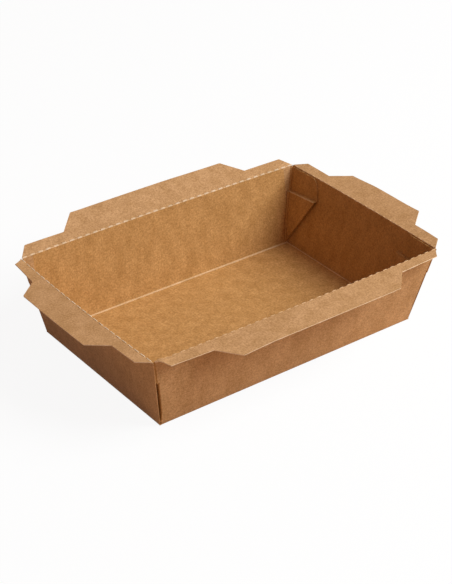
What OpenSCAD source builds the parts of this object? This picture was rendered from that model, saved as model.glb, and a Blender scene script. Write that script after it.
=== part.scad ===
// Folded kraft board food tray. One cut and creased sheet makes the flat base, four walls that
// lean out, a turned-out flange along each rim, and a web folded flat inside each corner.
// Frame: the origin is the centre of the underside of the base, on the table. +X runs along
// the length to the right end wall, +Y to the back wall and +Z up. Sizes in mm, angles in degrees.

/* [Tray] */
// Length between the creases of the two end rims
rim_l = 185; // [180:1:192]
// Width between the creases of the front and back rims
rim_w = 122; // [118:1:128]
// Height of the rim creases above the table
rim_h = 45; // [40:1:50]
// Length of the flat base
base_l = 167; // [162:1:172]
// Width of the flat base
base_w = 106; // [102:1:110]
// Thickness of the board
board_t = 0.45; // [0.4:0.01:0.5]
// Radius of the bead that a crease presses up, as a share of the board's thickness
bead_share = 0.93; // [0.86:0.01:0.96]

/* [Rim flanges] */
// Rise of the back flange above level
back_rise = 24; // [0:1:30]
// Rise of the front flange above level, below level when negative
front_rise = -4; // [-8:1:20]
// Rise of the left flange above level, below level when negative
left_rise = 0; // [-8:1:20]
// Rise of the right flange above level, below level when negative
right_rise = 7; // [-8:1:20]
// Depth of a flange near the corners, from its crease
band_d = 6.4; // [5:0.1:8]
// Depth of a flange at its tab, from its crease
tab_d = 17; // [14:0.5:20]
// Length of crease left bare at each end of a flange
flange_clear = 0.9; // [0.9:0.1:2]
// Distance along the crease from the rim corner to the slanted end of a band
flange_mitre = 6; // [4:0.2:8]
// Distance from the rim corner to the foot of the tab on a long flange
long_foot = 31; // [24:0.5:36]
// Distance from the rim corner to the outer corner of the tab on a long flange
long_tab = 41.5; // [37:0.5:50]
// Distance from the rim corner to the foot of the tab on an end flange
end_foot = 24.5; // [20:0.5:27]
// Distance from the rim corner to the outer corner of the tab on an end flange
end_tab = 33; // [28:0.5:38]
// Radius of the outer corners of a tab
tab_corner_r = 1.2; // [0.6:0.1:2]

/* [Perforated rim creases] */
// Distance from one cut to the next along a rim crease
perf_pitch = 5; // [4:0.25:6]
// Length of each cut
perf_cut = 2.5; // [2:0.25:3]

/* [Corner gussets] */
// Height of the web along the corner edge of the end wall
web_h = 30.4; // [27:0.2:33]
// Reach of the web along the end wall, from the corner edge
web_reach = 22; // [19:0.5:23]
// Extra height of the web at its inner point
web_rise = 2; // [1:0.2:3]
// Length over which the glued tab steps down from the web to the end wall
step_l = 2; // [1.5:0.1:3]
// Height of the middle of the glued tab's round end above the web
glue_tab_lift = 2.9; // [2:0.1:3.6]
// Space between the glued tab and the rim crease
glue_tab_clear = 0.6; // [0.5:0.1:1.2]
// Space between the end wall and the under half of the web
seat_gap = 0.15; // [0.12:0.01:0.2]
// Space between the two halves of the web
web_gap = 0.35; // [0.3:0.01:0.45]
// Distance from the corner edge to the outside of the fold on the end wall
fold_recess = 0.15; // [0.1:0.01:0.3]
// Distance from the corner edge to the cut edge of the end wall above the web
edge_recess = 0.05; // [0.03:0.01:0.2]

/* [Hidden] */
kraft = [0.76, 0.58, 0.38];
$fn = 48;
// Overlap that joins one panel to the next inside a fold
lap = 0.1;
// How far the bulge of a flat fold stands out of the two layers it joins
fold_swell = 0.03;
// Height above the base corner where each fold of a web begins
corner_start = 0.1;
over_start = 1.2;
under_start = 1.6;
bead_r = board_t * bead_share;

lean_w = atan((rim_w - base_w) / 2 / rim_h);
lean_e = atan((rim_l - base_l) / 2 / rim_h);
slant_w = rim_h / cos(lean_w);
slant_e = rim_h / cos(lean_e);
// Spread of the corner edge for each mm up a long wall and up an end wall
spread_w = (rim_l - base_l) / 2 / slant_w;
spread_e = (rim_w - base_w) / 2 / slant_e;
// Distance from the outer line of a base crease to the end of the panels beside it
foot_w = board_t / tan((90 + lean_w) / 2);
foot_e = board_t / tan((90 + lean_e) / 2);

// Depths inward from the outer face of the end wall
under_w = board_t + seat_gap;
over_w = under_w + board_t + web_gap;
glue_w = board_t;
side_fold_r = board_t + seat_gap / 2 + fold_swell;
diagonal_r = board_t + web_gap / 2 + fold_swell;
side_fold_in = fold_recess + side_fold_r;

// Inner point of the web on the end wall, from the middle of the end wall
web_v = web_h + web_rise;
web_u = base_w / 2 + spread_e * web_v - web_reach;
// Length and slope of the top edge of the web, from its inner point to the corner edge
web_top_u = edge_e(web_h, board_t - lap);
web_top_l = norm([web_top_u - web_u, web_rise]);
web_top_a = atan(web_rise / (web_top_u - web_u));

// The glued tab's round end, cut off a little by its straight top edge
glue_top = slant_e - glue_tab_clear;
glue_tab_r = glue_top - web_v - glue_tab_lift + 2 * board_t;
glue_tab_u = web_u + sqrt(glue_tab_r * glue_tab_r - glue_tab_lift * glue_tab_lift);

function edge_w(v, inset) = base_l / 2 + spread_w * v - inset / cos(atan(spread_w));
function edge_e(v, inset) = base_w / 2 + spread_e * v - inset / cos(atan(spread_e));
function diagonal(v) = base_w / 2 + (web_u - base_w / 2) * v / web_v;

// Outlines are drawn for one half and turned over for the other
function both(half) = concat(half, [for (i = [len(half) - 1:-1:0]) [-half[i][0], half[i][1]]]);

// Places a panel on the back wall: x along the crease, y up the wall, z inward
module on_back() {
    translate([0, base_w / 2, 0])
        rotate([90 - lean_w, 0, 0])
            children();
}

// Places a panel on the right end wall: x along the crease, y up the wall, z inward
module on_end() {
    translate([base_l / 2, 0, 0])
        rotate([0, 0, -90])
            rotate([90 - lean_e, 0, 0])
                children();
}

// Round bar along a line between two points, for the folds
module bar(from, to, radius) {
    span = to - from;
    translate(from)
        rotate([0, acos(span[2] / norm(span)), atan2(span[1], span[0])])
            cylinder(h = norm(span), r = radius);
}

// Section of the board along a rim crease: the open notch of a cut, from the fold to past its
// outer face, between the cut edge of the wall and the cut edge of the flange
module cut_section(lean, rise) {
    wall_n = [-cos(lean), sin(lean)];
    flange_n = [-sin(rise), cos(rise)];
    polygon([
        [0, 0],
        2 * board_t * flange_n,
        2 * board_t * (flange_n + wall_n),
        2 * board_t * wall_n
    ]);
}

// Row of cuts along a rim crease of a given length
module cut_row(rim, lean, rise) {
    count = floor((rim - 2 * flange_clear + perf_pitch - perf_cut) / perf_pitch);
    for (i = [0:count - 1])
        translate([(i - (count - 1) / 2) * perf_pitch - perf_cut / 2, 0, 0])
            rotate([90, 0, 90])
                linear_extrude(height = perf_cut)
                    cut_section(lean, rise);
}

// Scrap outside a rounded outer corner of a tab, with the corner at the origin
module tab_corner_waste(run) {
    slope = atan2(tab_d - band_d, run);
    back = tab_corner_r * tan(slope / 2);
    difference() {
        polygon([
            [-back, 0],
            [-back, tab_corner_r],
            [tab_corner_r, tab_corner_r],
            [back * cos(slope) + tab_corner_r * sin(slope),
                tab_corner_r * cos(slope) - back * sin(slope)],
            [back * cos(slope), -back * sin(slope)]
        ]);
        translate([-back, -tab_corner_r])
            circle(r = tab_corner_r);
    }
}

// Outline of a flange: x along the crease, y outward
module flange_outline(rim, foot, tab) {
    half = rim / 2;
    difference() {
        polygon(both([
            [half - flange_clear, -lap],
            [half - flange_clear, 0],
            [half - flange_mitre, band_d],
            [half - foot, band_d],
            [half - tab, tab_d]
        ]));
        for (side = [0, 1])
            mirror([side, 0, 0])
                translate([half - tab, tab_d])
                    tab_corner_waste(tab - foot);
    }
}

// Flange and rim crease in their own place: x along the crease, y outward, z up
module flange(rim, foot, tab, rise) {
    rotate([rise, 0, 0])
        linear_extrude(height = board_t)
            flange_outline(rim, foot, tab);
    rotate([0, 90, 0])
        cylinder(h = rim - 2 * flange_clear - 4 * lap, r = bead_r, center = true);
}

// Long wall with its base crease and flange, drawn as the back one
module long_side(rise) {
    difference() {
        union() {
            on_back()
                linear_extrude(height = board_t)
                    polygon(both([
                        [edge_w(foot_w - lap, over_w + board_t - lap), foot_w - lap],
                        [edge_w(web_h, over_w + board_t - lap), web_h],
                        [edge_w(web_h, glue_w + board_t - lap), web_h],
                        [edge_w(slant_w - lap, glue_w + board_t - lap), slant_w - lap],
                        [rim_l / 2 - flange_clear - lap, slant_w - lap],
                        [rim_l / 2 - flange_clear - lap, slant_w + lap]
                    ]));
            translate([0, rim_w / 2, rim_h])
                flange(rim_l, long_foot, long_tab, rise);
            translate([0, base_w / 2 - foot_w, board_t])
                rotate([0, 90, 0])
                    cylinder(h = base_l - 2 * foot_e, r = bead_r, center = true);
        }
        translate([0, rim_w / 2, rim_h])
            cut_row(rim_l, lean_w, rise);
    }
}

// End wall with its base crease and flange, drawn as the right one
module end_side(rise) {
    difference() {
        union() {
            on_end()
                linear_extrude(height = board_t)
                    polygon(both([
                        [edge_e(foot_e - lap, side_fold_in), foot_e - lap],
                        [edge_e(web_h, side_fold_in), web_h],
                        [edge_e(web_h, edge_recess), web_h],
                        [edge_e(slant_e - lap, edge_recess), slant_e - lap],
                        [rim_w / 2 - flange_clear - lap, slant_e - lap],
                        [rim_w / 2 - flange_clear - lap, slant_e + lap]
                    ]));
            translate([rim_l / 2, 0, rim_h])
                rotate([0, 0, -90])
                    flange(rim_w, end_foot, end_tab, rise);
            translate([base_l / 2 - foot_e, 0, board_t])
                rotate([90, 0, 0])
                    cylinder(h = base_w - 2 * foot_w, r = bead_r, center = true);
        }
        translate([rim_l / 2, 0, rim_h])
            rotate([0, 0, -90])
                cut_row(rim_w, lean_e, rise);
    }
}

// Under half of the web, folded flat against the end wall
module web_under() {
    low = under_start;
    top = web_h - step_l - lap;
    mid = board_t + seat_gap / 2;
    translate([0, 0, under_w])
        linear_extrude(height = board_t)
            polygon([
                [edge_e(low, side_fold_in), low],
                [edge_e(top, side_fold_in), top],
                [diagonal(top), top],
                [diagonal(low), low]
            ]);
    bar(
        [edge_e(low / 2, side_fold_in), low / 2, mid],
        [edge_e(top, side_fold_in), top, mid],
        side_fold_r
    );
}

// Over half of the web, joined to the long wall and to the under half along the diagonal
module web_over() {
    low = over_start;
    top = web_h - step_l;
    mid = over_w - web_gap / 2;
    translate([0, 0, over_w])
        linear_extrude(height = board_t)
            polygon([
                [edge_e(low, board_t - lap), low],
                [edge_e(top, board_t - lap), top],
                [web_u - step_l * sin(web_top_a), web_v - step_l * cos(web_top_a)],
                [diagonal(low), low]
            ]);
    bar([diagonal(low), low, mid], [diagonal(web_v - step_l), web_v - step_l, mid], diagonal_r);
    bar(
        [edge_e(corner_start, board_t), corner_start, over_w + board_t],
        [edge_e(web_h, board_t), web_h, over_w + board_t],
        bead_r
    );
}

// Outline of the tab glued to the end wall, with its round end away from the corner
module glue_tab_outline() {
    crease_v = web_v - (glue_tab_u - web_u) * tan(web_top_a);
    intersection() {
        translate([glue_tab_u, web_v + glue_tab_lift])
            circle(r = glue_tab_r);
        polygon([
            [web_u - glue_tab_lift, web_v + glue_tab_lift * tan(web_top_a)],
            [glue_tab_u, crease_v],
            [glue_tab_u, glue_top],
            [web_u - glue_tab_lift, glue_top]
        ]);
    }
    polygon([
        [glue_tab_u, crease_v],
        [web_top_u, web_h],
        [edge_e(glue_top, board_t - lap), glue_top],
        [glue_tab_u, glue_top]
    ]);
}

// Section of the step from the over half of the web down to the glued tab
module step_section() {
    polygon([
        [-step_l - lap, over_w],
        [-step_l, over_w],
        [0, glue_w],
        [lap, glue_w],
        [lap, glue_w + board_t],
        [0, glue_w + board_t],
        [-step_l, over_w + board_t],
        [-step_l - lap, over_w + board_t]
    ]);
}

// Tab of the long wall, stepped down over the end of the web and glued flat to the end wall
module glue_tab() {
    translate([0, 0, glue_w])
        linear_extrude(height = board_t)
            glue_tab_outline();
    translate([web_u, web_v, 0])
        rotate([0, 0, -web_top_a])
            translate([lap / 2, 0, 0])
                rotate([90, 0, 90])
                    linear_extrude(height = web_top_l - lap / 2)
                        step_section();
    bar(
        [edge_e(web_h, board_t), web_h, glue_w + board_t],
        [edge_e(glue_top, board_t), glue_top, glue_w + board_t],
        bead_r
    );
}

// One folded corner, on the front end of the right end wall
module gusset() {
    on_end() {
        web_under();
        web_over();
        glue_tab();
    }
}

module base_panel() {
    size_x = base_l - 2 * foot_e + 2 * lap;
    size_y = base_w - 2 * foot_w + 2 * lap;
    translate([-size_x / 2, -size_y / 2, 0])
        cube([size_x, size_y, board_t]);
}

module tray() {
    color(kraft)
        union() {
            base_panel();
            long_side(back_rise);
            rotate([0, 0, 180])
                long_side(front_rise);
            end_side(right_rise);
            rotate([0, 0, 180])
                end_side(left_rise);
            gusset();
            mirror([0, 1, 0])
                gusset();
            mirror([1, 0, 0])
                gusset();
            mirror([1, 0, 0])
                mirror([0, 1, 0])
                    gusset();
        }
}

tray();
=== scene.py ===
# %% [markdown]
# # A folded kraft board food tray
# The real tray is one die-cut sheet of brown kraft board. Machines crease it, fold up its four
# walls, tuck a web inside each corner and glue one small tab there. A rim flange is turned out
# along each wall on a row of short cuts. Here the same sheet is made panel by panel, the way the
# die cuts it: flat first, then stood up in its place.

# %% Set up the lesson
import math
import bmesh
import bpy
from mathutils import Matrix, Vector


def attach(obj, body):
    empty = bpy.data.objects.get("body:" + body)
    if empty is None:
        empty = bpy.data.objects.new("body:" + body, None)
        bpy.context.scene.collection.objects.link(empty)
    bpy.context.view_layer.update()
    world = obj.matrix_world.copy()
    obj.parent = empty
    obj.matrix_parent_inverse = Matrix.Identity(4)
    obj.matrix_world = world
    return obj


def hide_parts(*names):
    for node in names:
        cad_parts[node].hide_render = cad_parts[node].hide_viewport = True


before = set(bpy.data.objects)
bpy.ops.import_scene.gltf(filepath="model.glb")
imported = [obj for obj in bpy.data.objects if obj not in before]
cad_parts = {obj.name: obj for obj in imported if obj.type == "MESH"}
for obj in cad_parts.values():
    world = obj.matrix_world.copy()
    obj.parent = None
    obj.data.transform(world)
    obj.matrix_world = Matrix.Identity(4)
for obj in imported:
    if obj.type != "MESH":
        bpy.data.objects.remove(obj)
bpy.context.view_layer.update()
MM = 0.001

# %% [markdown]
# ## The sizes of the tray
# Board is drawn by its creases, so a few numbers give the whole tray: the base rectangle, the
# rim rectangle, the height between them and the thickness of the board. They are the same
# numbers as in the construction model, in millimetres here and turned to metres when used.

# %% Name the sizes
RIM_L, RIM_W, RIM_H = 185.0, 122.0, 45.0
BASE_L, BASE_W = 167.0, 106.0
BOARD = 0.45
# Radii of the bead in a crease and of a rounded land of the rim crease.
BEAD, LAND = 0.93 * BOARD, 0.85 * BOARD
# Depth of a flange at its band and at its tab, and how its ends are cut.
BAND, TAB = 6.4, 17.0
CLEAR, MITRE = 0.9, 6.0
# How far each flange rises above level, in degrees.
RISE = {"back": 24.0, "front": -4.0, "left": 0.0, "right": 7.0}
PITCH, CUT = 5.0, 2.5

# w stands for the two long walls, e for the two end walls. A slant is a wall's height along the
# board, a spread is what a wall gains at each end with each millimetre up it, and a foot is how
# far in from the crease the inside of the fold lies.
lean_w = math.atan((RIM_W - BASE_W) / 2 / RIM_H)
lean_e = math.atan((RIM_L - BASE_L) / 2 / RIM_H)
slant_w, slant_e = RIM_H / math.cos(lean_w), RIM_H / math.cos(lean_e)
spread_w = (RIM_L - BASE_L) / 2 / slant_w
spread_e = (RIM_W - BASE_W) / 2 / slant_e
foot_w = BOARD / math.tan((math.pi / 2 + lean_w) / 2)
foot_e = BOARD / math.tan((math.pi / 2 + lean_e) / 2)
print("walls lean %.1f and %.1f degrees" % (math.degrees(lean_w), math.degrees(lean_e)))

# %% [markdown]
# ## The hand tools
# Every panel needs the same few moves, so they become small helpers around Blender's own
# operators: work on one object only, pick edges by where they are, slice, cut a flat piece of
# board along straight sides, give it its thickness, stand it in its place, join pieces, and lay
# a round bar in a fold. The front, the cut edges and the back of the board each get a finish of
# their own, because a cut edge shows the paler core of the board.

# %% Define the hand tools
NEAR, LOOSE = 0.01, 0.02    # how close a point has to be to count as there, in millimetres


def only(obj):
    """Selects one object and nothing else, in object mode."""
    if bpy.context.object and bpy.context.object.mode != "OBJECT":
        bpy.ops.object.mode_set(mode="OBJECT")
    bpy.ops.object.select_all(action="DESELECT")
    obj.select_set(True)
    bpy.context.view_layer.objects.active = obj
    return obj


def pick(obj, kind, test):
    """Selects the vertices, edges or faces whose points all pass a test, in edit mode."""
    bpy.ops.mesh.select_mode(type=kind)
    bpy.ops.mesh.select_all(action="DESELECT")
    mesh = bmesh.from_edit_mesh(obj.data)
    chosen = {"VERT": mesh.verts, "EDGE": mesh.edges, "FACE": mesh.faces}[kind]
    count = 0
    for part in chosen:
        points = [part.co] if kind == "VERT" else [v.co for v in part.verts]
        if test([p / MM for p in points]):
            part.select_set(True)
            count += 1
    mesh.select_flush_mode()
    bmesh.update_edit_mesh(obj.data)
    return count


def slice_all(obj, point, normal, drop=False):
    """Cuts the whole piece with a plane, and drops what lies beyond it if asked to."""
    bpy.ops.mesh.select_mode(type="FACE")
    bpy.ops.mesh.select_all(action="SELECT")
    bpy.ops.mesh.bisect(plane_co=Vector(point) * MM, plane_no=Vector(normal).normalized(),
                        clear_outer=drop, threshold=0.000001)


def score(obj, step_x, step_y):
    """Adds evenly spaced cuts along x and y, so that the flat piece can bend later."""
    low = Vector([min(v.co[i] for v in obj.data.vertices) / MM for i in range(3)])
    high = Vector([max(v.co[i] for v in obj.data.vertices) / MM for i in range(3)])
    only(obj)
    bpy.ops.object.mode_set(mode="EDIT")
    for axis, step in ((0, step_x), (1, step_y)):
        normal = [0.0, 0.0, 0.0]
        normal[axis] = 1.0
        parts = max(1, round((high[axis] - low[axis]) / step))
        for i in range(1, parts):
            point = [0.0, 0.0, 0.0]
            point[axis] = low[axis] + (high[axis] - low[axis]) * i / parts
            slice_all(obj, point, normal)
    bpy.ops.object.mode_set(mode="OBJECT")


def cut_out(name, outline):
    """A flat piece in the drawing plane, cut from a square of board along each straight side."""
    margin = 4
    low = [min(p[i] for p in outline) for i in range(2)]
    high = [max(p[i] for p in outline) for i in range(2)]
    middle = [(low[i] + high[i]) / 2 for i in range(2)]
    side = max(high[i] - low[i] for i in range(2)) + margin
    bpy.ops.object.select_all(action="DESELECT")
    bpy.ops.mesh.primitive_plane_add(size=side * MM, location=(middle[0] * MM, middle[1] * MM, 0))
    obj = bpy.context.object
    obj.name = name
    bpy.ops.object.transform_apply(location=True, rotation=True, scale=True)
    bpy.context.view_layer.update()
    bpy.ops.object.mode_set(mode="EDIT")
    for a, b in zip(outline, outline[1:] + outline[:1]):
        slice_all(obj, (a[0], a[1], 0), (b[1] - a[1], a[0] - b[0], 0), drop=True)
    bpy.ops.object.mode_set(mode="OBJECT")
    return obj


def make_board(obj, front, edge, back, grow=1.0):
    """Gives a sheet its thickness. Front face, cut edges and back face take their own finish."""
    only(obj)
    for finish in (front, edge, back):
        obj.data.materials.append(finish)
    solid = obj.modifiers.new("board", "SOLIDIFY")
    solid.thickness = BOARD * MM
    solid.offset = grow
    solid.use_even_offset = True
    solid.use_quality_normals = True
    solid.material_offset_rim = 1
    solid.material_offset = 2
    bpy.ops.object.modifier_apply(modifier=solid.name)
    return obj


def stand(obj, turn, place):
    """Turns a finished piece about the origin, moves it to its place and fixes it there."""
    only(obj)
    obj.rotation_euler = [math.radians(a) for a in turn]
    obj.location = Vector(place) * MM
    bpy.ops.object.transform_apply(location=True, rotation=True, scale=True)
    return obj


def join(name, pieces):
    """Makes one object of several pieces."""
    only(pieces[0])
    for piece in pieces[1:]:
        piece.select_set(True)
    bpy.ops.object.join()
    bpy.context.object.name = name
    return bpy.context.object


def bar(name, start, end, radius, material, step=8.0):
    """A round bar along a line, with rings along it so that it can bend with the board."""
    start, end = Vector(start) * MM, Vector(end) * MM
    span = end - start
    bpy.ops.object.select_all(action="DESELECT")
    bpy.ops.mesh.primitive_cylinder_add(vertices=20, radius=radius * MM, depth=span.length)
    obj = bpy.context.object
    obj.name = name
    obj.data.materials.append(material)
    bpy.ops.object.mode_set(mode="EDIT")
    rings = max(1, round(span.length / MM / step))
    for i in range(1, rings):
        height = (i / rings - 0.5) * span.length / MM
        slice_all(obj, (0, 0, height), (0, 0, 1))
    bpy.ops.object.mode_set(mode="OBJECT")
    obj.rotation_euler = span.to_track_quat("Z", "Y").to_euler()
    obj.location = (start + end) / 2
    bpy.ops.object.transform_apply(location=True, rotation=True, scale=True)
    return obj


# %% [markdown]
# ## The finish of kraft board
# Kraft board is unbleached wood fibre: a warm tan with soft cloudy patches a few millimetres
# wide, short fibres pressed flat in every direction and a few darker specks. It has hardly any
# shine. Noises of different sizes make that: clouds, a fine mottle, and long thin noise turned
# two ways for the fibres. The pattern reads Object coordinates, so it stays put on the board.
# The inside finish is a little warmer and redder than the outside and the flanges: that is painted
# shade, standing in for the reddish shade and bounced light inside the tray. Cut edges and creases
# are paler, because bending and cutting open the fibres.

# %% Build the kraft finish
def new_material(name):
    """An empty material with one Principled shader, ready for its pattern."""
    material = bpy.data.materials.new(name)
    material.use_nodes = True
    nodes = material.node_tree.nodes
    nodes.clear()
    shader = nodes.new("ShaderNodeBsdfPrincipled")
    output = nodes.new("ShaderNodeOutputMaterial")
    material.node_tree.links.new(shader.outputs["BSDF"], output.inputs["Surface"])
    return material, nodes, material.node_tree.links, shader


def noise(nodes, links, scale, stretch=(1, 1, 1), turn=(0, 0, 0), detail=2.0):
    """Noise on Object coordinates: scale is in patches a metre, stretch makes it long."""
    coord = nodes.new("ShaderNodeTexCoord")
    mapping = nodes.new("ShaderNodeMapping")
    mapping.inputs["Scale"].default_value = stretch
    mapping.inputs["Rotation"].default_value = [math.radians(a) for a in turn]
    texture = nodes.new("ShaderNodeTexNoise")
    texture.inputs["Scale"].default_value = scale
    texture.inputs["Detail"].default_value = detail
    links.new(coord.outputs["Object"], mapping.inputs["Vector"])
    links.new(mapping.outputs["Vector"], texture.inputs["Vector"])
    return texture.outputs["Fac"]


def ramp(nodes, links, value, low, high, dark, light):
    """Turns a noise value into a colour between two, over the part of its range given."""
    node = nodes.new("ShaderNodeValToRGB")
    node.color_ramp.elements[0].position = low
    node.color_ramp.elements[0].color = (*dark, 1)
    node.color_ramp.elements[1].position = high
    node.color_ramp.elements[1].color = (*light, 1)
    links.new(value, node.inputs["Fac"])
    return node.outputs["Color"]


def blend(nodes, links, mode, factor, first, second):
    """Mixes two colours, and returns the result."""
    node = nodes.new("ShaderNodeMix")
    node.data_type = "RGBA"
    node.blend_type = mode
    node.inputs["Factor"].default_value = factor
    links.new(first, node.inputs["A"])
    links.new(second, node.inputs["B"])
    return node.outputs["Result"]


def kraft(name, dark, light, rough):
    """One finish of the board: its darkest and lightest tone and how matt it is."""
    material, nodes, links, shader = new_material(name)
    clouds = noise(nodes, links, 150, stretch=(1, 1, 0.5), detail=5)
    mottle = noise(nodes, links, 1100, detail=4)
    fibre_a = noise(nodes, links, 1000, stretch=(0.35, 2.0, 1.0), turn=(0, 0, 12))
    fibre_b = noise(nodes, links, 1000, stretch=(2.0, 0.6, 0.35), turn=(15, 0, -25))
    specks = noise(nodes, links, 2200, detail=1)
    colour = ramp(nodes, links, mottle, 0.29, 0.71, dark, light)
    tint = ramp(nodes, links, clouds, 0.34, 0.66, (0.80, 0.76, 0.66), (1, 1, 1))
    colour = blend(nodes, links, "MULTIPLY", 0.8, colour, tint)
    streak = ramp(nodes, links, fibre_a, 0.35, 0.72, (0.84, 0.82, 0.78), (1, 1, 1))
    colour = blend(nodes, links, "MULTIPLY", 0.6, colour, streak)
    streak = ramp(nodes, links, fibre_b, 0.35, 0.72, (0.86, 0.84, 0.80), (1, 1, 1))
    colour = blend(nodes, links, "MULTIPLY", 0.5, colour, streak)
    fleck = ramp(nodes, links, specks, 0.22, 0.34, (0.62, 0.55, 0.48), (1, 1, 1))
    colour = blend(nodes, links, "MULTIPLY", 0.6, colour, fleck)
    links.new(colour, shader.inputs["Base Color"])
    grain = nodes.new("ShaderNodeMath")
    grain.operation = "ADD"
    links.new(fibre_a, grain.inputs[0])
    links.new(mottle, grain.inputs[1])
    bump = nodes.new("ShaderNodeBump")
    bump.inputs["Strength"].default_value = 0.25
    bump.inputs["Distance"].default_value = 0.00012
    links.new(grain.outputs["Value"], bump.inputs["Height"])
    links.new(bump.outputs["Normal"], shader.inputs["Normal"])
    shader.inputs["Roughness"].default_value = rough
    shader.inputs["Specular IOR Level"].default_value = 0.22
    return material


# The inside finish is redder than the outside: a painted shade tone for the reddish shade inside
# the tray.
inside = kraft("kraft inside painted shade tint", (0.46, 0.245, 0.083), (0.72, 0.42, 0.158), 0.72)
outside = kraft("kraft outside", (0.45, 0.255, 0.112), (0.70, 0.438, 0.215), 0.72)
core = kraft("kraft cut edge", (0.93, 0.75, 0.52), (1.0, 0.87, 0.67), 0.85)
crease = kraft("kraft crease", (0.68, 0.46, 0.25), (0.86, 0.63, 0.38), 0.7)
print("finishes:", inside.name, outside.name, core.name, crease.name)

# %% [markdown]
# ## Base and walls
# The base is a plane of the base's size. A wall is an edge of it pulled up and out, and then
# made as long as the rim, which keeps board and crease in one surface as on the real sheet. The
# ends of the walls stop a little short, to leave room for the layers folded into each corner, and
# the slot left there closes toward the base. The base creases are bevelled to the bend that
# board of this thickness takes.

# %% Pull the walls up from the base
# Layers that touch sink into each other by a lap, so that no gap shows between them.
LAP = 0.1
# How far the two halves of the web stand in from the outside of the end wall.
UNDER, OVER = BOARD + 0.5, 2 * BOARD + 1.05
SIDE_FOLD = 0.3
# The web: its height at the corner, its reach from there, the rise to its tip, its step down.
WEB_H, WEB_REACH, WEB_RISE, STEP = 31.0, 24.0, 1.9, 0.3
# How far short of the corner edge a long wall and an end wall stop, beside and above the web.
LONG_IN, LONG_IN_TOP = OVER + BOARD - LAP, 3 * BOARD + LAP
END_IN, END_IN_TOP = 0.15 + SIDE_FOLD, 0.05
# How much the corner slot narrows at the base and where that starts, and the tighter corner.
TAPER, TAPER_V = 1.3, 12.0
TIGHT = 0.9
SHEET_STEP = 7.5


def long_edge(v, inset):
    """Half the length of a long wall at v up its slant, less an inset."""
    return BASE_L / 2 + spread_w * v - inset / math.cos(math.atan(spread_w))


def end_edge(v, inset):
    """Half the length of an end wall at v up its slant, less an inset."""
    return BASE_W / 2 + spread_e * v - inset / math.cos(math.atan(spread_e))


def taper(v):
    """How much the open corner narrows toward the base."""
    return TAPER * max(0.0, 1 - v / TAPER_V) ** 2


def long_half(v):
    """Where a long wall ends beside the web."""
    return long_edge(v, LONG_IN - taper(v))


bpy.ops.object.select_all(action="DESELECT")
bpy.ops.mesh.primitive_plane_add(size=1)
sheet = bpy.context.object
sheet.name = "sheet"
sheet.scale = (BASE_L * MM, BASE_W * MM, 1)
bpy.ops.object.transform_apply(scale=True)
bpy.ops.object.mode_set(mode="EDIT")
bpy.ops.mesh.flip_normals()
for side in (-1, 1):
    slice_all(sheet, (side * long_half(0), 0, 0), (1, 0, 0))
    slice_all(sheet, (0, side * end_edge(0, END_IN), 0), (0, 1, 0))


def pull_wall(axis, side, lean, slant, half_at):
    """Pulls one wall up from its base crease in stages, making each new edge its own length."""
    across = 1 - axis
    out = BASE_W / 2 if axis else BASE_L / 2
    half = half_at(0)
    pick(sheet, "EDGE", lambda p: all(abs(q[axis] - side * out) < NEAR and abs(q.z) < NEAR
                                      and abs(q[across]) < half + NEAR for q in p))
    v_now, half_now = 0.0, half
    for v in (TAPER_V / 3, TAPER_V * 2 / 3, TAPER_V, WEB_H, slant):
        move = [0.0, 0.0, (v - v_now) * math.cos(lean) * MM]
        move[axis] = side * (v - v_now) * math.sin(lean) * MM
        bpy.ops.mesh.extrude_edges_move(TRANSFORM_OT_translate={"value": move})
        stretch = [1.0, 1.0, 1.0]
        stretch[across] = half_at(v) / half_now
        bpy.ops.transform.resize(value=stretch, center_override=(0, 0, 0),
                                 constraint_axis=(across == 0, across == 1, False))
        v_now, half_now = v, half_at(v)


for side in (-1, 1):
    pull_wall(1, side, lean_w, slant_w, long_half)
    pull_wall(0, side, lean_e, slant_e, lambda v: end_edge(v, END_IN))
bpy.ops.object.mode_set(mode="OBJECT")
print("sheet:", len(sheet.data.polygons), "faces before the ears are added")

# %% [markdown]
# Above the web the corner is closed: the end wall runs out to the corner edge, and the long wall
# runs up against it. So the upper part of each wall's side edge is pulled out once more. Folding
# is never quite even: one of the four corners sits tighter, so its wall edge is moved out.

# %% Close the upper corners
web_z_w, web_z_e = WEB_H * math.cos(lean_w), WEB_H * math.cos(lean_e)
SLOT_ZONE = 0.3
BOW_HEIGHTS = (8, 15, 22, 37)
bpy.ops.object.mode_set(mode="EDIT")
for side_x in (-1, 1):
    for side_y in (-1, 1):
        pick(sheet, "EDGE", lambda p: all(
            abs(q.y) > BASE_W / 2 + 1 and q.y * side_y > 0 and q.z > web_z_w - NEAR
            and abs(abs(q.x) - long_edge(q.z / math.cos(lean_w), LONG_IN)) < LOOSE
            and abs(abs(q.y) - BASE_W / 2 - q.z * math.tan(lean_w)) < LOOSE
            and q.x * side_x > 0 for q in p))
        bpy.ops.mesh.extrude_edges_move(TRANSFORM_OT_translate={
            "value": (side_x * (LONG_IN - LONG_IN_TOP) * MM, 0, 0)})
        pick(sheet, "EDGE", lambda p: all(
            abs(q.x) > BASE_L / 2 + 1 and q.x * side_x > 0 and q.z > web_z_e - NEAR
            and abs(abs(q.y) - end_edge(q.z / math.cos(lean_e), END_IN)) < LOOSE
            and abs(abs(q.x) - BASE_L / 2 - q.z * math.tan(lean_e)) < LOOSE
            and q.y * side_y > 0 for q in p))
        bpy.ops.mesh.extrude_edges_move(TRANSFORM_OT_translate={
            "value": (0, side_y * (END_IN - END_IN_TOP) * MM, 0)})
bpy.ops.mesh.select_all(action="SELECT")
bpy.ops.mesh.remove_doubles(threshold=0.00001)
picked = pick(sheet, "EDGE", lambda p: all(abs(q.z) < NEAR for q in p) and (
    all(abs(abs(q.y) - BASE_W / 2) < NEAR and abs(q.x) < long_half(0) + NEAR for q in p)
    or all(abs(abs(q.x) - BASE_L / 2) < NEAR and abs(q.y) < end_edge(0, END_IN) + NEAR
           for q in p)))
print("creases to bevel:", picked)
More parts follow.
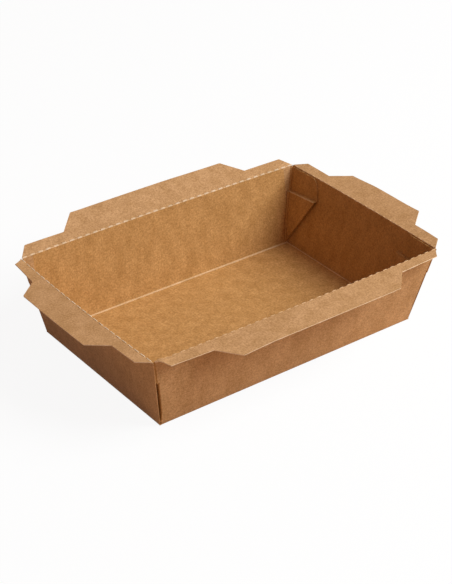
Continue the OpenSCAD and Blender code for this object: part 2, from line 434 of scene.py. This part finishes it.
bpy.ops.mesh.bevel(offset=foot_w * MM, offset_type="OFFSET", segments=4, affect="EDGES",
                   clamp_overlap=False)
bpy.ops.object.mode_set(mode="OBJECT")
score(sheet, SHEET_STEP, SHEET_STEP)
bpy.ops.object.mode_set(mode="EDIT")
for z in BOW_HEIGHTS:
    slice_all(sheet, (0, 0, z), (0, 0, 1))
bpy.ops.object.mode_set(mode="OBJECT")
make_board(sheet, outside, crease, inside, grow=-1.0)
bpy.ops.object.mode_set(mode="EDIT")
# The side edges that meet at a corner are folded, not cut, so they take the outside finish.
pick(sheet, "FACE", lambda p: all(
    q.z < web_z_w + SLOT_ZONE and abs(q.y) > BASE_W / 2 - 1
    and abs(abs(q.x) - long_half(q.z / math.cos(lean_w))) < SLOT_ZONE for q in p) or all(
        q.z > 1 and abs(q.x) > BASE_L / 2 - 1
        and abs(q.y) > end_edge(q.z / math.cos(lean_e), 2 * SLOT_ZONE) for q in p))
sheet.active_material_index = 0
bpy.ops.object.material_slot_assign()
moved = pick(sheet, "VERT", lambda p: 1.5 < p[0].z < web_z_w + SLOT_ZONE
             and p[0].y < -BASE_W / 2 - 0.2
             and abs(p[0].x - long_half(p[0].z / math.cos(lean_w))) < SLOT_ZONE
             and abs(p[0].y) > BASE_W / 2 + p[0].z * math.tan(lean_w) - BOARD - 0.2)
print("points moved at the tight corner:", moved)
bpy.ops.transform.translate(value=(TIGHT * MM, 0, 0))
bpy.ops.object.mode_set(mode="OBJECT")
print("sheet:", len(sheet.data.polygons), "faces")

# %% [markdown]
# ## The rim flanges
# Each wall ends in a flange: a narrow band with mitred ends and a deeper tab in its middle, whose
# ends slant. A lid's edge grips them. The band is cut out, the tab is pulled from the middle of
# its outer edge, and the tab's corners are rounded as a cutting rule leaves them. Board that has
# been folded and shipped is never quite flat, so a lattice curls each flange a little, and one
# small lattice more lifts the end of the front flange where it meets its neighbour.

# %% Cut out the flanges
TAB_ROUND = 0.5
FLANGE_STEP_X, FLANGE_STEP_Y = 6.0, 3.2
# The curled end: its middle, from the end and from the crease, and how far it reaches.
CURL_X, CURL_Y, CURL_REACH_X, CURL_REACH_Y = 3.4, 1.8, 5.0, 5.5
CURL_CUTS_X, CURL_CUTS_Y = (1.8, 2.8, 3.8, 5.0, 7.0), (0.7, 1.5, 2.4, 4.3)


def warp(obj, middle, size, points, shift):
    """Bends a piece with a lattice. shift gives how far a lattice point goes, from its place."""
    bpy.ops.object.select_all(action="DESELECT")
    bpy.ops.object.add(type="LATTICE", location=Vector(middle) * MM)
    cage = bpy.context.object
    cage.scale = Vector(size) * MM
    cage.data.points_u, cage.data.points_v, cage.data.points_w = points
    for side in "uvw":
        setattr(cage.data, "interpolation_type_" + side, "KEY_CARDINAL")
    for point in cage.data.points:
        place = Vector([point.co[i] * size[i] + middle[i] for i in range(3)])
        move = shift(place)
        point.co_deform = [point.co[i] + move[i] / size[i] for i in range(3)]
    bpy.context.view_layer.update()
    only(obj)
    bend = obj.modifiers.new("bend", "LATTICE")
    bend.object = cage
    bpy.ops.object.modifier_apply(modifier=bend.name)
    bpy.data.objects.remove(cage)


def hump(at, centre, reach):
    """A smooth bump, 1 at its centre and 0 past its reach."""
    t = min(1.0, abs(at - centre) / reach)
    return (1 - t * t) ** 2


def flange(name, rim, foot, tab, lift, curl):
    """One flange, cut out flat. Its tab begins at foot and is full at tab, from the rim's end."""
    half = rim / 2
    obj = cut_out(name, [(CLEAR - half, 0), (half - CLEAR, 0), (half - MITRE, BAND),
                         (MITRE - half, BAND)])
    bpy.ops.object.mode_set(mode="EDIT")
    for side in (-1, 1):
        slice_all(obj, (side * (half - foot), 0, 0), (1, 0, 0))
    pick(obj, "EDGE", lambda p: all(abs(q.y - BAND) < NEAR and abs(q.x) < half - foot + NEAR
                                    for q in p))
    bpy.ops.mesh.extrude_edges_move(TRANSFORM_OT_translate={"value": (0, (TAB - BAND) * MM, 0)})
    bpy.ops.transform.resize(value=((half - tab) / (half - foot), 1, 1),
                             center_override=(0, 0, 0))
    pick(obj, "VERT", lambda p: abs(p[0].y - TAB) < NEAR)
    bpy.ops.mesh.bevel(offset=TAB_ROUND * MM, segments=5, affect="VERTICES")
    bpy.ops.object.mode_set(mode="OBJECT")
    score(obj, FLANGE_STEP_X, FLANGE_STEP_Y)
    warp(obj, (0, TAB / 2, 0), (rim, TAB, 10), (17, 4, 2),
         lambda place: (0, 0, lift(place.x / half) * place.y / BAND))
    if curl:
        only(obj)
        bpy.ops.object.mode_set(mode="EDIT")
        for x in CURL_CUTS_X:
            slice_all(obj, (half - x, 0, 0), (1, 0, 0))
        for y in CURL_CUTS_Y:
            slice_all(obj, (0, y, 0), (0, 1, 0))
        bpy.ops.object.mode_set(mode="OBJECT")
        warp(obj, (half - 5, 3.2, 0), (12, 9, 6), (10, 8, 2), lambda place: (
            0, 0, curl * hump(place.x, half - CURL_X, CURL_REACH_X)
            * hump(place.y, CURL_Y, CURL_REACH_Y)))
    return make_board(obj, outside, core, outside)


# How far each flange lifts along its length, s from -1 to 1, and the curl of the front one.
LIFT = {
    "back": lambda s: 1.3 * hump(s, -1, 0.5) - 0.25 * hump(s, 0.5, 0.4),
    "front": lambda s: 0.8 * hump(s, -1, 0.5) - 0.5 * hump(s, 0.62, 0.3),
    "left": lambda s: 1.8 * hump(s, 1, 0.5),
    "right": lambda s: 0.5 * hump(s, 0.7, 0.4) - 0.5 * hump(s, -0.5, 0.4),
}
CURL = {"front": 1.5}
# For each side: the rim's length, where its tab starts and is full, the wall's lean, and how
# the flange is turned and placed.
SIDES = {
    "back": (RIM_L, 31.0, 41.5, lean_w, 0, (0, RIM_W / 2, RIM_H)),
    "front": (RIM_L, 31.0, 41.5, lean_w, 180, (0, -RIM_W / 2, RIM_H)),
    "left": (RIM_W, 24.5, 33.0, lean_e, 90, (-RIM_L / 2, 0, RIM_H)),
    "right": (RIM_W, 24.5, 33.0, lean_e, -90, (RIM_L / 2, 0, RIM_H)),
}
pieces = [sheet]
for side, (rim, foot, tab, lean, turn, place) in SIDES.items():
    piece = flange("flange_" + side, rim, foot, tab, LIFT[side], CURL.get(side))
    pieces.append(stand(piece, (RISE[side], 0, turn), place))
print("flanges:", [len(p.data.polygons) for p in pieces[1:]])

# %% [markdown]
# ## The cut rim creases
# So that the flanges fold outward easily, their creases are cut through for half their length:
# 2.5 mm cut, 2.5 mm left. At a cut, the wall's pale edge stands up as a small tooth, and in
# between the board bends round. One tooth and one rounded land are made for each side and repeated
# with an array, because every one comes from the same rule; a thin bar closes what is left open.

# %% Bend the lands and raise the teeth
TOOTH_W, TOOTH_SINK, TOOTH_ROUND = 0.43, 0.05, 0.26
THREAD, END_GAP = 0.1, 0.2
# The height, length and finish of the teeth along each side.
TEETH = {"back": (0.72, 2.8, core), "front": (0.55, 2.6, crease), "left": (0.6, 3.5, core),
         "right": (0.45, 2.5, crease)}


def tooth(name, centre, lean, height, length, finish):
    """The cut edge of the wall: a small slab with rounded ends, standing on the wall."""
    bpy.ops.object.select_all(action="DESELECT")
    bpy.ops.mesh.primitive_cube_add(size=1)
    obj = bpy.context.object
    obj.name = name
    obj.data.materials.append(finish)
    obj.scale = Vector((length, TOOTH_W, height + TOOTH_SINK)) * MM
    bpy.ops.object.transform_apply(scale=True)
    bpy.ops.object.mode_set(mode="EDIT")
    pick(obj, "EDGE", lambda p: all(q.z > 0 and abs(q.x - p[0].x) < NEAR for q in p))
    bpy.ops.mesh.bevel(offset=TOOTH_ROUND * MM, segments=2, affect="EDGES",
                       clamp_overlap=False)
    bpy.ops.object.mode_set(mode="OBJECT")
    out = Vector((0, math.sin(lean), math.cos(lean)))
    inward = Vector((0, -math.cos(lean), math.sin(lean)))
    place = out * (height - TOOTH_SINK) / 2 + inward * BOARD / 2
    return stand(obj, (-math.degrees(lean), 0, 0), (centre, place.y, place.z))


def repeat(obj, count):
    """Copies a piece along its crease at the pitch of the cuts."""
    only(obj)
    row = obj.modifiers.new("row", "ARRAY")
    row.use_relative_offset = False
    row.use_constant_offset = True
    row.constant_offset_displace = (PITCH * MM, 0, 0)
    row.count = count
    bpy.ops.object.modifier_apply(modifier=row.name)
    return obj


for side, (rim, foot, tab, lean, turn, place) in SIDES.items():
    cuts = math.floor((rim - 2 * CLEAR + PITCH - CUT) / PITCH)
    first = -(cuts - 1) / 2 * PITCH + PITCH / 2
    end = rim / 2 - CLEAR - END_GAP
    land = bar("lands_" + side, (first - CUT / 2, 0, 0), (first + CUT / 2, 0, 0), LAND, crease)
    last = cuts / 2 * PITCH - PITCH / 2 + CUT / 2
    teeth = tooth("teeth_" + side, first - PITCH / 2, lean, *TEETH[side])
    parts = [repeat(land, cuts - 1), repeat(teeth, cuts),
             bar("fold_" + side, (-end, 0, 0), (end, 0, 0), THREAD, core, PITCH)]
    if end - last > 0.3:
        parts.append(bar("stub_a", (last, 0, 0), (end, 0, 0), LAND, crease))
        parts.append(bar("stub_b", (-end, 0, 0), (-last, 0, 0), LAND, crease))
    pieces.append(stand(join("crease_" + side, parts), (0, 0, turn), place))
    print(side, cuts, "cuts, first land at", first, "mm, row ends at", round(last, 2))

# %% [markdown]
# ## The base creases
# A crease is pressed from the outside, so the board swells into a low rounded bead on its inside,
# where the panels meet. Real ones catch the light as a pale line, with a thin dark valley between
# the bead and the wall. Four bars lie just inside the folds, the one at the back swelled a little
# more, and four thinner ones in the board's own colour round off the folds behind them.

# %% Lay the beads into the folds
INSET, FILLET, BACK_SWELL = 0.9, 0.3, 0.1
half_l, half_w = BASE_L / 2 - foot_e, BASE_W / 2 - foot_w
for side in (-1, 1):
    swell = BACK_SWELL if side > 0 else 0.0
    for inset, radius, finish in ((INSET, BEAD, crease), (0.0, FILLET, inside)):
        end_l, end_w = half_l - inset, half_w - inset
        grow = swell if inset else 0.0
        pieces.append(bar("bead", (-end_l, side * end_w, BOARD + grow),
                          (end_l, side * end_w, BOARD + grow), radius + grow, finish))
        pieces.append(bar("bead", (side * end_l, -end_w, BOARD), (side * end_l, end_w, BOARD),
                          radius, finish))

# %% [markdown]
# ## The folded corners
# The sheet is whole at its corners, so the spare board there is folded into a flat web inside the
# end wall: an under half, a fold along the diagonal, and an over half that belongs to the long
# wall. The web ends below the rim, and from it a tab steps down onto the end wall, where it is
# glued. One corner is made lying flat, in the end wall's own frame: x along the wall, y up its
# slant, z into the tray. Bars round off its folds, and one of them, inside the corner edge, is
# the swollen crease that shows beside the web. A lattice closes the corner toward the base, and
# a second one makes the tighter copy, whose edge gets one bead more. Then the corners are stood
# up, and the looser one is mirrored to the other three places.

# %% Fold one corner
WEB_V = WEB_H + WEB_RISE
WEB_U = BASE_W / 2 + spread_e * WEB_V - WEB_REACH
TOP_U = end_edge(WEB_H, BOARD - LAP)
top_angle = math.atan(WEB_RISE / (TOP_U - WEB_U))
SPRING = 0.8
# Where the two halves begin above the base, and how far the under one stays inside their edges.
OVER_LOW, UNDER_LOW, DIAGONAL_LOW = 0.5, 5.0, 1.6
UNDER_IN, FOLD_IN = 3.0, 0.55
# The swollen crease inside the corner edge: how far in it lies, and its radius.
SWELL, SWELL_R = 0.5, 0.55
# The glued tab: its top, its gap to the wall, the round of its free edge, and the bar that lies
# along the edge in the corner.
GLUE_TOP, GLUE_GAP = slant_e - 0.6, 0.15
GLUE_R = 8.8
GLUE_U, GLUE_V = WEB_U + 9.9, WEB_V + 4.4
GLUE_IN, GLUE_W, GLUE_BEAD = 0.72, 1.2, 0.33
STEP_ROUND, RIDGE = 0.35, 0.36
CORNER_STEP = 6.0


def diagonal(v):
    """Where the web's diagonal fold is at v up the wall's slant."""
    return BASE_W / 2 + (WEB_U - BASE_W / 2) * v / WEB_V


def fold_over():
    """Glued tab, step and over half of the web, as one sheet pulled down from the tab."""
    top_turn = math.pi - math.asin((GLUE_TOP - GLUE_V) / GLUE_R)
    low_turn = (math.pi + math.atan2(GLUE_V - WEB_V, GLUE_U - WEB_U)
                - math.acos(GLUE_R / math.hypot(GLUE_U - WEB_U, GLUE_V - WEB_V)))
    arc = [top_turn + (low_turn - top_turn) * i / 12 for i in range(13)]
    outline = [(WEB_U, WEB_V), (TOP_U, WEB_H), (end_edge(GLUE_TOP, BOARD - LAP), GLUE_TOP)]
    outline += [(GLUE_U + GLUE_R * math.cos(a), GLUE_V + GLUE_R * math.sin(a)) for a in arc]
    obj = cut_out("over_half", outline)
    bpy.ops.object.mode_set(mode="EDIT")
    pick(obj, "EDGE", lambda p: all(min((q - Vector((WEB_U, WEB_V, 0))).length,
                                        (q - Vector((TOP_U, WEB_H, 0))).length) < LOOSE for q in p))
    down = Vector((-STEP * math.sin(top_angle), -STEP * math.cos(top_angle), 0))
    bpy.ops.mesh.extrude_edges_move(TRANSFORM_OT_translate={
        "value": (down + Vector((0, 0, OVER - BOARD))) * MM})
    low = OVER_LOW
    corner_a = Vector((WEB_U, WEB_V, OVER - BOARD)) + down
    corner_b = Vector((TOP_U, WEB_H, OVER - BOARD)) + down
    pick(obj, "VERT", lambda p: (p[0] - corner_a).length < LOOSE)
    bpy.ops.transform.translate(value=(0, 0, SPRING * MM))
    corner_a.z += SPRING
    pick(obj, "EDGE", lambda p: all(min((q - corner_a).length, (q - corner_b).length) < LOOSE
                                    for q in p))
    goal_a = Vector((diagonal(low), low, OVER - BOARD))
    goal_b = Vector((end_edge(low, BOARD - LAP), low, OVER - BOARD))
    bpy.ops.mesh.extrude_edges_move(TRANSFORM_OT_translate={"value": (goal_a - corner_a) * MM})
    moved = corner_b + goal_a - corner_a
    pick(obj, "VERT", lambda p: (p[0] - moved).length < LOOSE)
    bpy.ops.transform.translate(value=(goal_b - moved) * MM)
    across = Vector((math.sin(top_angle), math.cos(top_angle), 0))
    top = Vector((WEB_U, WEB_V, 0))

    def on_crease(q):
        """True on the two bends of the step between the web and its tab."""
        return (abs((q - top).dot(across)) < LOOSE and abs(q.z) < NEAR) or (
            abs((q - top).dot(across) + STEP) < LOOSE and q.z > OVER - BOARD - NEAR)

    found = pick(obj, "EDGE", lambda p: all(on_crease(q) for q in p)
                 and abs((p[0] - p[1]).normalized().dot(across)) < 0.1)
    bpy.ops.mesh.bevel(offset=STEP_ROUND * MM, offset_type="OFFSET", segments=3, affect="EDGES",
                       clamp_overlap=False)
    bpy.ops.object.mode_set(mode="OBJECT")
    score(obj, CORNER_STEP, CORNER_STEP)
    make_board(obj, inside, inside, inside)
    print("creases on the web:", found)
    return stand(obj, (0, 0, 0), (0, 0, BOARD + GLUE_GAP))


def spring(obj):
    """Lifts a part of the web off the end wall, the more the further it is from the corner."""
    middle = ((WEB_U + TOP_U) / 2, WEB_V / 2, OVER / 2)
    size = (TOP_U - WEB_U + 2, WEB_V + 2, 4)
    warp(obj, middle, size, (4, 4, 2), lambda place: (
        0, 0, SPRING * (end_edge(place.y, BOARD) - place.x) / WEB_REACH))
    return obj


def fold_under():
    """Under half of the web, beside the end wall."""
    low, top = UNDER_LOW, WEB_H - STEP - LAP
    obj = cut_out("under_half", [(end_edge(low, UNDER_IN), low), (end_edge(top, UNDER_IN), top),
                                 (diagonal(top) + FOLD_IN, top), (diagonal(low) + FOLD_IN, low)])
    score(obj, CORNER_STEP, CORNER_STEP)
    make_board(obj, inside, inside, inside)
    return spring(stand(obj, (0, 0, 0), (0, 0, UNDER)))


def upper_bead(top):
    """The bead up the corner edge, between the long wall and the glued tab."""
    return bar("fold", (end_edge(WEB_H - 1, BOARD), WEB_H - 1, LONG_IN_TOP + LAP),
               (end_edge(top, BOARD), top, LONG_IN_TOP + LAP), BEAD, inside, CORNER_STEP)


def fold_bars():
    """The rounded folds of a corner: side, corner edge, swollen crease, tab edge, diagonal."""
    side = SIDE_FOLD
    middle = (UNDER + OVER + BOARD) / 2
    lines = [
        ((end_edge(0.8, END_IN), 0.8, side), (end_edge(WEB_H, END_IN), WEB_H + 0.1, side),
         SIDE_FOLD, outside),
        ((end_edge(0.1, BOARD), 0.1, OVER + BOARD), (end_edge(WEB_H, BOARD), WEB_H, OVER + BOARD),
         BEAD, inside),
        ((end_edge(0.9, BOARD + SWELL), 0.9, OVER + BOARD + SWELL),
         (end_edge(WEB_H - 0.4, BOARD + SWELL), WEB_H - 0.4, OVER + BOARD + SWELL),
         SWELL_R, inside),
        ((end_edge(WEB_H, GLUE_IN), WEB_H, GLUE_W), (end_edge(GLUE_TOP, GLUE_IN), GLUE_TOP, GLUE_W),
         GLUE_BEAD, inside),
    ]
    bars = [bar("fold", a, b, radius, finish, CORNER_STEP) for a, b, radius, finish in lines]
    bars.append(upper_bead(slant_e - 0.3))
    bars.append(spring(bar("fold", (diagonal(DIAGONAL_LOW) + FOLD_IN, DIAGONAL_LOW, middle),
                           (diagonal(WEB_V - 0.9) + FOLD_IN, WEB_V - 0.9, middle),
                           (OVER + BOARD - UNDER) / 2 - 0.02, inside)))
    return bars


def ridge():
    """The pale ridge where the web ends and the tab steps down."""
    at = Vector((-STEP * math.sin(top_angle), -STEP * math.cos(top_angle), OVER + BOARD - 0.12))
    return bar("ridge", Vector((WEB_U + 0.3, WEB_V, SPRING)) + at,
               Vector((TOP_U - 0.4, WEB_H, 0)) + at, RIDGE, crease, CORNER_STEP)


def squeeze(obj, amount):
    """Brings the over half nearer to the end wall: amount gives by how much, at each height."""
    warp(obj, (WEB_U + 12, slant_e / 2, (BOARD + OVER) / 2), (40, slant_e, OVER - BOARD),
         (2, 23, 2), lambda place: (0, 0, -amount(place.y) if place.z > OVER - 0.1 else 0))
    return obj


corner = join("corner", [fold_over(), fold_under()] + fold_bars())
squeeze(corner, taper)
only(corner)
bpy.ops.object.duplicate()
tight = squeeze(bpy.context.object,
                lambda v: TIGHT * min(1.0, v / 4, max(0.0, (GLUE_V + 1 - v) / 4)))
tight = join("tight_corner", [tight, upper_bead(GLUE_V + 2)])
corner = join("corner", [corner, ridge()])
for piece in (corner, tight):
    stand(piece, (90 - math.degrees(lean_e), 0, -90), (BASE_L / 2, 0, 0))
corners = [tight]
for mirror_x, mirror_y in ((1, -1), (-1, 1), (-1, -1)):
    only(corner)
    bpy.ops.object.duplicate()
    twin = bpy.context.object
    twin.scale = (mirror_x, mirror_y, 1)
    bpy.ops.object.transform_apply(location=True, rotation=True, scale=True)
    if mirror_x * mirror_y < 0:
        bpy.ops.object.mode_set(mode="EDIT")
        bpy.ops.mesh.select_all(action="SELECT")
        bpy.ops.mesh.normals_make_consistent(inside=False)
        bpy.ops.object.mode_set(mode="OBJECT")
    corners.append(twin)
bpy.data.objects.remove(corner)
print("corners:", len(corners), "with", len(tight.data.polygons), "faces each")

# %% [markdown]
# ## One tray, slightly bowed
# The parts are joined into one tray. The walls of a real one bulge outward a little between the
# stiff corners, about a millimetre at the middle of the rim, so a lattice as large as the rim
# moves its upper edge out. The faces are then shaded smooth, except across sharp edges.

# %% Join and bow the tray
BOW = {"back": 1.0, "front": 0.8, "left": 1.3, "right": 0.8}
SMOOTH_UNDER = 32    # edges that turn less than this are shaded smooth, in degrees


def bow(place):
    """How far a point of the lattice moves out: most at the middle of each rim side."""
    s, t = place.x / (RIM_L / 2), place.y / (RIM_W / 2)
    if place.z < 1:
        return (0, 0, 0)
    x = y = 0.0
    if abs(s) > 0.99:
        x = (1 - t * t) * (BOW["right"] if s > 0 else -BOW["left"])
    if abs(t) > 0.99:
        y = (1 - s * s) * (BOW["back"] if t > 0 else -BOW["front"])
    return (x, y, 0)


tray = join("kraft_tray", pieces + corners)
warp(tray, (0, 0, RIM_H / 2), (RIM_L, RIM_W, RIM_H), (9, 9, 2), bow)
only(tray)
bpy.ops.object.shade_smooth_by_angle(angle=math.radians(SMOOTH_UNDER))
tray.data.name = "kraft_tray"
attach(tray, "root")
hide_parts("tray")
print("tray:", len(tray.data.polygons), "faces, finishes",
      [m.name for m in tray.data.materials], "at", list(tray.location))

# %% [markdown]
# ## Floor and background
# The tray stands on a plain white floor. For the camera the floor is mostly its own white, so
# that it fades into the white background, with a part of ordinary matt paint left in it, which
# keeps the soft shadow under the tray.

# %% Lay the floor
FLOOR_SIZE, FLOOR_DROP = 6, 0.0002
bpy.ops.object.select_all(action="DESELECT")
bpy.ops.mesh.primitive_plane_add(size=FLOOR_SIZE, location=(0, 0, -FLOOR_DROP))
floor = bpy.context.object
floor.name = "floor"
paint, nodes, links, shader = new_material("white floor")
# Only light that bounces on to the tray meets this warm tone. The camera sees white.
shader.inputs["Base Color"].default_value = (0.72, 0.53, 0.39, 1)
shader.inputs["Roughness"].default_value = 1.0
shader.inputs["Specular IOR Level"].default_value = 0.0


def seen_directly(nodes, links):
    """1 for what the camera, a gloss or a clear surface sees, 0 for the light on the tray."""
    path = nodes.new("ShaderNodeLightPath")
    total = path.outputs["Is Camera Ray"]
    for kind in ("Is Glossy Ray", "Is Transmission Ray"):
        most = nodes.new("ShaderNodeMath")
        most.operation = "MAXIMUM"
        links.new(total, most.inputs[0])
        links.new(path.outputs[kind], most.inputs[1])
        total = most.outputs["Value"]
    return total


glow = nodes.new("ShaderNodeEmission")
glow.inputs["Strength"].default_value = 1.0
chalk = nodes.new("ShaderNodeBsdfDiffuse")
chalk.inputs["Color"].default_value = (0.93, 0.99, 1.0, 1)
pale = nodes.new("ShaderNodeMixShader")
pale.inputs["Fac"].default_value = 0.92
links.new(chalk.outputs["BSDF"], pale.inputs[1])
links.new(glow.outputs["Emission"], pale.inputs[2])
mix = nodes.new("ShaderNodeMixShader")
links.new(seen_directly(nodes, links), mix.inputs["Fac"])
links.new(shader.outputs["BSDF"], mix.inputs[1])
links.new(pale.outputs["Shader"], mix.inputs[2])
output = next(n for n in nodes if n.type == "OUTPUT_MATERIAL")
links.new(mix.outputs["Shader"], output.inputs["Surface"])
floor.data.materials.append(paint)

world = bpy.data.worlds.new("studio")
bpy.context.scene.world = world
world.use_nodes = True
nodes, links = world.node_tree.nodes, world.node_tree.links
nodes.clear()
fill = nodes.new("ShaderNodeBackground")
fill.inputs["Color"].default_value = (1.0, 0.57, 0.44, 1)
fill.inputs["Strength"].default_value = 0.24
white = nodes.new("ShaderNodeBackground")
white.inputs["Color"].default_value = (1, 1, 1, 1)
white.inputs["Strength"].default_value = 1.0
both = nodes.new("ShaderNodeMixShader")
sky = nodes.new("ShaderNodeOutputWorld")
links.new(seen_directly(nodes, links), both.inputs["Fac"])
links.new(fill.outputs["Background"], both.inputs[1])
links.new(white.outputs["Background"], both.inputs[2])
links.new(both.outputs["Shader"], sky.inputs["Surface"])

# %% [markdown]
# ## Light
# One large soft lamp stands to the right of the tray, in front of it and above. It leaves the
# inside of the right wall in shade, with a broad soft edge on the base, and lights the back wall.
# The rest of the light comes evenly from all round. It is low and warm, because in the photo
# the shaded side of the brown board has a reddish tone.

# %% Set the lamp
def aim(obj, toward):
    """Turns a lamp so that it shines toward a point."""
    obj.rotation_euler = (Vector(toward) - obj.location).to_track_quat("-Z", "Y").to_euler()


toward_key = Vector((0.62, -0.54, 0.80)).normalized()
distance = 1.6
lamp = bpy.data.lights.new("key", "AREA")
lamp.shape = "DISK"
lamp.size = 1.2
brightness = 1.22
lamp.energy = brightness * math.pi * math.pi * distance ** 2
key = bpy.data.objects.new("key", lamp)
bpy.context.scene.collection.objects.link(key)
key.location = toward_key * distance
aim(key, (0, 0, 0.02))
print("lamp: %.1f W at %.1f m" % (lamp.energy, distance))

# %% [markdown]
# ## Camera
# The photograph looks down at one corner of the tray. The camera's direction, distance and focal
# length come from a fit of the tray's own corners to the picture.

# %% Place the camera
# Angles in radians, the distance in metres, and the focal length in pixels of the picture.
IMAGE_HEIGHT = 584
around, above, roll = -0.654, 0.55074, 0.01185
reach, focal = 0.882596, 1652.5
view_at = Vector((-5.11861, -3.50752, 25.0)) * MM
back = Vector((math.sin(around) * math.cos(above), -math.cos(around) * math.cos(above),
               math.sin(above)))
right = (-back).cross(Vector((0, 0, 1))).normalized()
up = right.cross(-back)
across = math.cos(roll) * right + math.sin(roll) * up
upward = -math.sin(roll) * right + math.cos(roll) * up
lens = bpy.data.cameras.new("camera")
lens.sensor_width = 36.0
lens.lens = focal / IMAGE_HEIGHT * lens.sensor_width
camera = bpy.data.objects.new("camera", lens)
bpy.context.scene.collection.objects.link(camera)
camera.matrix_world = Matrix((
    (across.x, upward.x, back.x, view_at.x + back.x * reach),
    (across.y, upward.y, back.y, view_at.y + back.y * reach),
    (across.z, upward.z, back.z, view_at.z + back.z * reach),
    (0, 0, 0, 1)))
bpy.context.scene.camera = camera
bpy.context.scene.view_settings.view_transform = "Standard"
print("camera lens %.1f mm, %.2f m away" % (lens.lens, reach))
